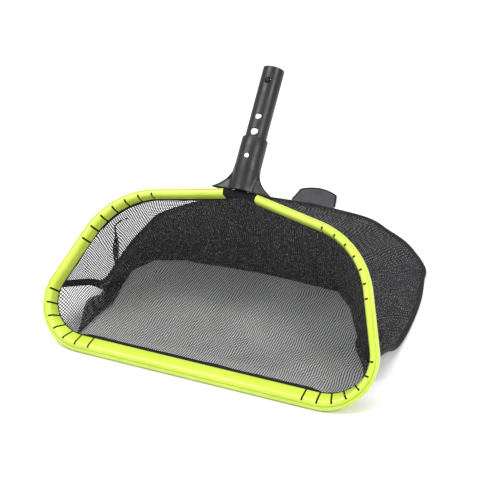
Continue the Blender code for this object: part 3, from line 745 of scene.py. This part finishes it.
def make_bindings():
    def run(low, high, count, side=1):
        line, outs = [], []
        for i in range(count + 1):
            share = lerp(low, high, i / count)
            p, q = seam_at(share, side), seam_at(share + 0.004, side) - seam_at(share - 0.004, side)
            out = Vector((q.y, -q.x, 0)).normalized() * side
            p = p + out * 0.0015
            line.append(Vector((p.x, p.y, max(p.z, 0.0024))))
            outs.append(out)
        return line, outs

    for name, side in (("right", 1), ("left", -1)):
        line, outs = run(0.004, 0.6005, 90, side)
        node, band = f"seam_binding_{name}", 1.0 if side < 0 else 0.3
        tape_along(f"side_binding_{name}", line, outs, node, 0.0034, 0.0018, 0.0008, band)
        stitches(f"side_stitches_{name}", line, outs, 0.0024)
    line, outs = run(0.5995, 1.0, 70)
    line += [Vector((-p.x, p.y, p.z)) for p in reversed(line[:-1])]
    outs += [Vector((-p.x, p.y, 0)) for p in reversed(outs[:-1])]
    tape_along("rear_binding", line, outs, "seam_binding_rear", 0.0030, 0.0018, 0.0003)
    stitches("rear_stitches", line, outs, 0.0024)


def stitches(name, line, outs, inset):
    """A row of short thread stitches along a tape."""
    bm = bmesh.new()
    run, length = [0.0], 0.0
    for p, q in zip(line, line[1:]):
        length += (q - p).length
        run.append(length)
    count, k = int(length / 0.0034), 0
    for i in range(count):
        want = (i + 0.5) * length / count
        while k < len(run) - 2 and run[k + 1] < want:
            k += 1
        t = (want - run[k]) / (run[k + 1] - run[k])
        p = line[k].lerp(line[k + 1], t) - outs[k] * 0.0012 + Vector((0, 0, inset - 0.0006))
        along = (line[k + 1] - line[k]).normalized()
        rows = []
        for step, radius in ((-0.0011, 0.0001), (-0.0007, 0.00028), (0.0007, 0.00028), (0.0011, 0.0001)):
            side = along.cross(Vector((0, 0, 1))).normalized()
            up = side.cross(along)
            centre = p + along * step
            quarters = (0, pi / 2, pi, 3 * pi / 2)
            rows.append([centre + (side * cos(a) + up * sin(a)) * radius for a in quarters])
        grid(bm, rows, closed=True)
    return finish_piece(bm, name, THREAD, "hoop")


def make_hem():
    """The hem: a flat fold of cloth round the rod, whose edge shows past the edging's inner lip."""
    end = TOP
    count = 280
    rows = []
    for i in range(count + 1):
        s = lerp(-end, end, i / count)
        middle, outward, deep, _, depth = section(s)
        half = 0.0030 + 0.0004 * noise.noise(Vector((s * 60, 3.0, 0.0)))
        ring = []
        for e, d in ((-1, 0.35), (-0.75, 0.1), (0, 0.0), (0.75, 0.1), (1, 0.35)):
            ring.append((e * half, 0.0023 + d * 0.004))
        tail = depth + 0.0016
        ring += [(0.0018, depth * 0.7), (0.0012, tail), (-0.0012, tail), (-0.0018, depth * 0.7)]
        rows.append([HOOP @ (middle + outward * e + deep * d) for e, d in ring])
    bm = bmesh.new()
    grid(bm, rows, closed=True)
    finish_piece(bm, "hem", HEM, "hoop", ("hem_sleeve",), angle=60)
    inner_band()


def inner_band():
    """The stitched-down edge of the hem that lies against the net, just inside the mouth."""
    rows = []
    count = 360
    for i in range(count + 1):
        s = lerp(-TOP, TOP, i / count)
        middle, outward, deep, thick, depth = section(s)
        x = abs(s)
        inside = -thick / 2 + WALL + 0.0010
        sides = smooth((x - 0.150) / 0.02) * smooth((0.375 - x) / 0.02)
        reach = lerp(0.0055, 0.0016, sides) + 0.0008 * noise.noise(Vector((s * 25, 1.0, 4.0)))
        gap = smooth((x - rail(END_X)) / 0.004)
        start = lerp(depth - 0.004, 0.004, gap)
        inside = lerp(inside, 0.0, gap)
        line = ((start, 0.0), (depth, 0.0), (depth + reach * 0.6, -0.0012), (depth + reach, -0.0024))
        rows.append([HOOP @ (middle + outward * (inside + e) + deep * d) for d, e in line])
    bm = bmesh.new()
    grid(bm, rows)
    band = finish_piece(bm, "hem_edge", HEM, "hoop", angle=180, flip=False)
    solid = band.modifiers.new("thickness", "SOLIDIFY")
    solid.thickness = 0.0008
    solid.offset = 0.0


def make_tab():
    hinge = Vector(next(j for j in frame["joints"] if j["name"] == "pull_tab_flap")["pos_m"])
    tilt = math.radians(12.0)
    up, face = Vector((0, cos(tilt), sin(tilt))), Vector((0, sin(tilt), -cos(tilt)))
    half, length, crown, taper = 0.0347, 0.0350, 0.0085, 0.0053
    rows = []
    across, down = 28, 18
    for j in range(down + 1):
        t = j / down
        row = []
        for i in range(across + 1):
            x = lerp(-1, 1, i / across)
            width = lerp(half, half - taper, t)
            round_off = crown * x * x
            h = t * (length - round_off)
            bow = 0.0010 * sin(pi * t) + 0.0008 * x * x * t
            row.append(hinge + Vector((x * width, 0, 0)) + up * max(h, 0.0) + face * bow)
        rows.append(row)
    bm = bmesh.new()
    grid(bm, rows)
    tab = finish_piece(bm, "tab", WEB, "tab", ("pull_tab",), angle=180, flip=False)
    solid = tab.modifiers.new("thickness", "SOLIDIFY")
    solid.thickness, solid.offset = 0.0020, 0.0
    bevel = tab.modifiers.new("edge", "BEVEL")
    bevel.width, bevel.segments = 0.0005, 2
    apply_all(tab)
    bm = bmesh.new()
    edge = []
    rim = 0.985
    up_side = [(k / 20, -rim) for k in range(1, 20)]
    top_edge = [(rim, lerp(-rim, rim, k / 40)) for k in range(41)]
    down_side = [(1 - k / 20, rim) for k in range(1, 20)]
    for t, x in up_side + top_edge + down_side:
        width = lerp(half, half - taper, t)
        h = t * (length - crown * x * x)
        bow = 0.0010 * sin(pi * t) + 0.0008 * x * x * t
        edge.append(hinge + Vector((x * width, 0, 0)) + up * h + face * bow)
    rows = []
    for i, p in enumerate(edge):
        q = edge[min(i + 1, len(edge) - 1)] - edge[max(i - 1, 0)]
        out = face.cross(q).normalized()
        angles = [2 * pi * k / 8 for k in range(8)]
        rows.append([p + out * 0.0018 * cos(a) + face * 0.0016 * sin(a) for a in angles])
    grid(bm, rows, closed=True)
    finish_piece(bm, "tab_edge", TAPE, "tab", angle=80)
    back = seam_at(1.0).y - 0.001
    rows = []
    for i in range(21):
        x = lerp(-half, half, i / 20) * 0.985
        reach = hinge.y + 0.0012
        waist, shoulder = lerp(back, reach, 0.55), reach - 0.0004
        line = ((back, 0.0042), (waist, 0.0036), (shoulder, 0.0031), (reach, 0.0021), (shoulder, 0.0011))
        line += ((waist, 0.0010), (back, 0.0016))
        rows.append([Vector((x, y, z)) for y, z in line])
    bm = bmesh.new()
    grid(bm, rows, closed=True)
    finish_piece(bm, "tab_root", WEB, "hoop", angle=60)


# ---------------------------------------------------------------- handle


def flare(z):
    t = max(0.0, (0.285 - z) / 0.042)
    return 0.0173 + 0.0005 * t + 0.0252 * t**3.2, 0.0173 - 0.0023 * smooth(t)


def make_yoke():
    """A tube with a thin wing on each side that flares down to the edging, as one moulding."""
    rows = []
    wing_levels = [0.243, 0.2436, 0.2445] + [lerp(0.246, 0.286, i / 16) for i in range(17)]
    for z in wing_levels + [0.300, 0.3143, 0.3147, 0.3150]:
        width, depth = flare(z)
        tube = 0.0174 if z > 0.2765 else lerp(0.0174, 0.0166, smooth((0.2765 - z) / 0.03))
        tip = min(0.0005, max(0.0, 0.3150 - z) * 0.5)
        trim = 0.0005 - tip if z > 0.3139 else (0.0006 if z < 0.2435 else 0.0)
        ring = []
        for i in range(72):
            a = 2 * pi * i / 72
            c, s = cos(a), sin(a)
            wing = width * c
            y = min(depth, tube) * s
            if width > tube + 0.001:
                inside = max(0.0, 1 - (wing / tube) ** 2)
                rib = math.sqrt(inside) * min(depth, tube)
                web = 0.0064 * math.sqrt(max(0.0, 1 - (wing / width) ** 6))
                y = math.copysign(max(rib, web if abs(s) > 1e-6 else 0.0), s) if abs(s) > 1e-6 else 0.0
            grow = 1.0 - trim / 0.0173
            ring.append(HOOP @ Vector((wing * grow, AXIS_Y + y * grow, z)))
        rows.append(ring)
    bm = bmesh.new()
    grid(bm, rows, closed=True)
    yoke = finish_piece(bm, "yoke_moulding", BLACK, None, angle=38)
    bm = bmesh.new()
    add_cylinder(bm, 0.0147, (0, AXIS_Y, 0.268), (0, AXIS_Y, 0.33), 64)
    add_cylinder(bm, 0.0132, (0, AXIS_Y, 0.230), (0, AXIS_Y, 0.262), 48)
    window = ((0.0178, 0.2550), (0.0212, 0.2550), (0.0206, 0.2590), (0.0191, 0.2640), (0.0178, 0.2640))
    for side in (-1, 1):
        rows = []
        for y in (AXIS_Y - 0.03, AXIS_Y + 0.03):
            rows.append([Vector((side * x, y, z)) for x, z in window])
        grid(bm, rows, closed=True)
        add_cylinder(bm, 0.0019, (side * 0.0093, AXIS_Y, 0.256), (side * 0.0093, AXIS_Y + 0.03, 0.256), 20)
    add_cylinder(bm, 0.0047, (0, AXIS_Y - 0.03, 0.288), (0, AXIS_Y - 0.0160, 0.288), 28)
    add_cylinder(bm, 0.0028, (0, AXIS_Y - 0.03, 0.288), (0, AXIS_Y + 0.03, 0.288), 28)
    cutter = cutter_from(bm)
    cutter.matrix_world = HOOP
    cut_with(yoke, cutter)
    yoke.data.shade_smooth()
    yoke.data.set_sharp_from_angle(angle=math.radians(38))
    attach(yoke, "hoop")
    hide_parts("yoke")


def make_spigot():
    outer, inner, low, high, rim = 0.0143, 0.0115, 0.2695, 0.4130, 0.0005
    profile = [(inner, low), (outer, low), (outer, high - rim)]
    profile += [(outer - rim, high), (inner + rim, high), (inner, high - rim)]
    angles = [2 * pi * i / 96 for i in range(96)]
    rows = []
    for r, z in profile:
        rows.append([HOOP @ Vector((r * cos(a), AXIS_Y + r * sin(a), z)) for a in angles])
    rows.append(rows[0])
    bm = bmesh.new()
    grid(bm, rows)
    bmesh.ops.remove_doubles(bm, verts=bm.verts, dist=1e-7)
    for face in [f for f in bm.faces if len(f.verts) < 3]:
        bm.faces.remove(face)
    first = [[v for v in bm.verts if (v.co - p).length < 1e-6][0] for p in (r[0] for r in rows[:6])]
    last = [[v for v in bm.verts if (v.co - p).length < 1e-6][0] for p in (r[-1] for r in rows[:6])]
    for i in range(6):
        j = (i + 1) % 6
        bm.faces.new((last[i], first[i], first[j], last[j]))
    spigot = finish_piece(bm, "spigot_tube", BLACK, None, angle=38)
    bm = bmesh.new()
    add_cylinder(bm, 0.0044, (0, AXIS_Y - 0.03, 0.393), (0, AXIS_Y + 0.03, 0.393), 40)
    for z, r, drop in ((0.3435, 0.0043, 0.0040), (0.3226, 0.0050, 0.0048)):
        add_cylinder(bm, r, (0, AXIS_Y - 0.03, z), (0, AXIS_Y, z), 40)
        slot = Matrix.Diagonal((0.0268, 0.017, 0.0112, 1))
        place = Matrix.Translation((0, AXIS_Y + 0.0115, z + drop)) @ slot
        bmesh.ops.create_cube(bm, size=1.0, matrix=place)
    cutter = cutter_from(bm)
    cutter.matrix_world = HOOP
    cut_with(spigot, cutter)
    spigot.data.shade_smooth()
    spigot.data.set_sharp_from_angle(angle=math.radians(38))
    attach(spigot, "hoop")
    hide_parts("pole_spigot")


def make_rivet():
    reach = 0.0173
    bm = bmesh.new()
    place = HOOP @ Matrix.Translation((0, AXIS_Y, 0.288)) @ Matrix.Rotation(pi / 2, 4, "X")
    head = ((0.0001, -0.0004), (0.0008, -0.0003), (0.0013, 0.0002), (0.0026, 0.0001))
    head += ((0.0030, -0.0005), (0.0030, -0.0011), (0.0024, -0.0012))
    tail = ((0.0024, 0.0003), (0.0040, 0.0004), (0.0039, 0.0010), (0.0030, 0.0014), (0.0001, 0.0015))
    profile = [(r, reach + h) for r, h in head] + [(r, -reach - h) for r, h in tail]
    turned(bm, profile, 40, place)
    finish_piece(bm, "rivet", ALUMINIUM, "hoop", ("spigot_rivet",), angle=50)


LOOKS = {
    "hoop_rod": ALUMINIUM,
    "hoop_screw_left": STEEL,
    "hoop_screw_right": STEEL,
    "clip_bend": STEEL,
    "clip_arm_front": STEEL,
    "clip_arm_rear": STEEL,
    "snap_button_front": BUTTON,
    "snap_button_rear": BUTTON,
}
for node, look in LOOKS.items():
    obj = frame["nodes"][node]
    for i in range(len(obj.material_slots)):
        obj.material_slots[i].material = look

make_edging()
make_bag()
make_bindings()
make_hem()
make_tab()
make_yoke()
make_spigot()
make_rivet()

# ---------------------------------------------------------------- floor, light and camera

material, nt, shader = node_tree("studio_floor")
nt.links.new(ramp(nt, noise_at(nt, 2.0), ((0.3, 0.93), (0.7, 0.95))), shader.inputs["Base Color"])
shader.inputs["Roughness"].default_value = 0.9
bm = bmesh.new()
bmesh.ops.create_grid(bm, x_segments=2, y_segments=2, size=8.0)
mesh = bpy.data.meshes.new("studio_floor")
bm.to_mesh(mesh)
bm.free()
mesh.materials.append(material)
floor = bpy.data.objects.new("studio_floor", mesh)
floor.location.z = -0.0004
bpy.context.scene.collection.objects.link(floor)


def area_light(name, place, target, size, power):
    data = bpy.data.lights.new(name, "AREA")
    data.shape, data.size, data.energy = "DISK", size, power
    obj = bpy.data.objects.new(name, data)
    obj.location = place
    obj.rotation_euler = (Vector(target) - Vector(place)).to_track_quat("-Z", "Y").to_euler()
    bpy.context.scene.collection.objects.link(obj)


area_light("key", (-1.2, -0.9, 2.2), (0, 0, 0.1), 1.4, 40)
area_light("fill", (1.7, -0.7, 1.5), (0, 0, 0.1), 0.8, 22)
area_light("top", (0.1, 0.5, 2.6), (0, 0.05, 0), 2.4, 34)
world = bpy.data.worlds.new("studio")
world.use_nodes = True
world.node_tree.nodes["Background"].inputs[0].default_value = (1, 1, 1, 1)
world.node_tree.nodes["Background"].inputs[1].default_value = 0.6
bpy.context.scene.world = world

camera = bpy.data.objects.new("camera", bpy.data.cameras.new("camera"))
camera.data.sensor_width = 36.0
camera.data.lens = 89.7
camera.data.clip_start, camera.data.clip_end = 0.05, 50.0
camera.location = (0.5189, -1.1278 - FRONT, 0.9688 + RIDGE_HEIGHT)
camera.rotation_mode = "QUATERNION"
camera.rotation_quaternion = Vector((-0.30656, 0.78712, -0.53523)).to_track_quat("-Z", "Y")
bpy.context.scene.collection.objects.link(camera)
bpy.context.scene.camera = camera
bpy.context.scene.view_settings.view_transform = "Standard"
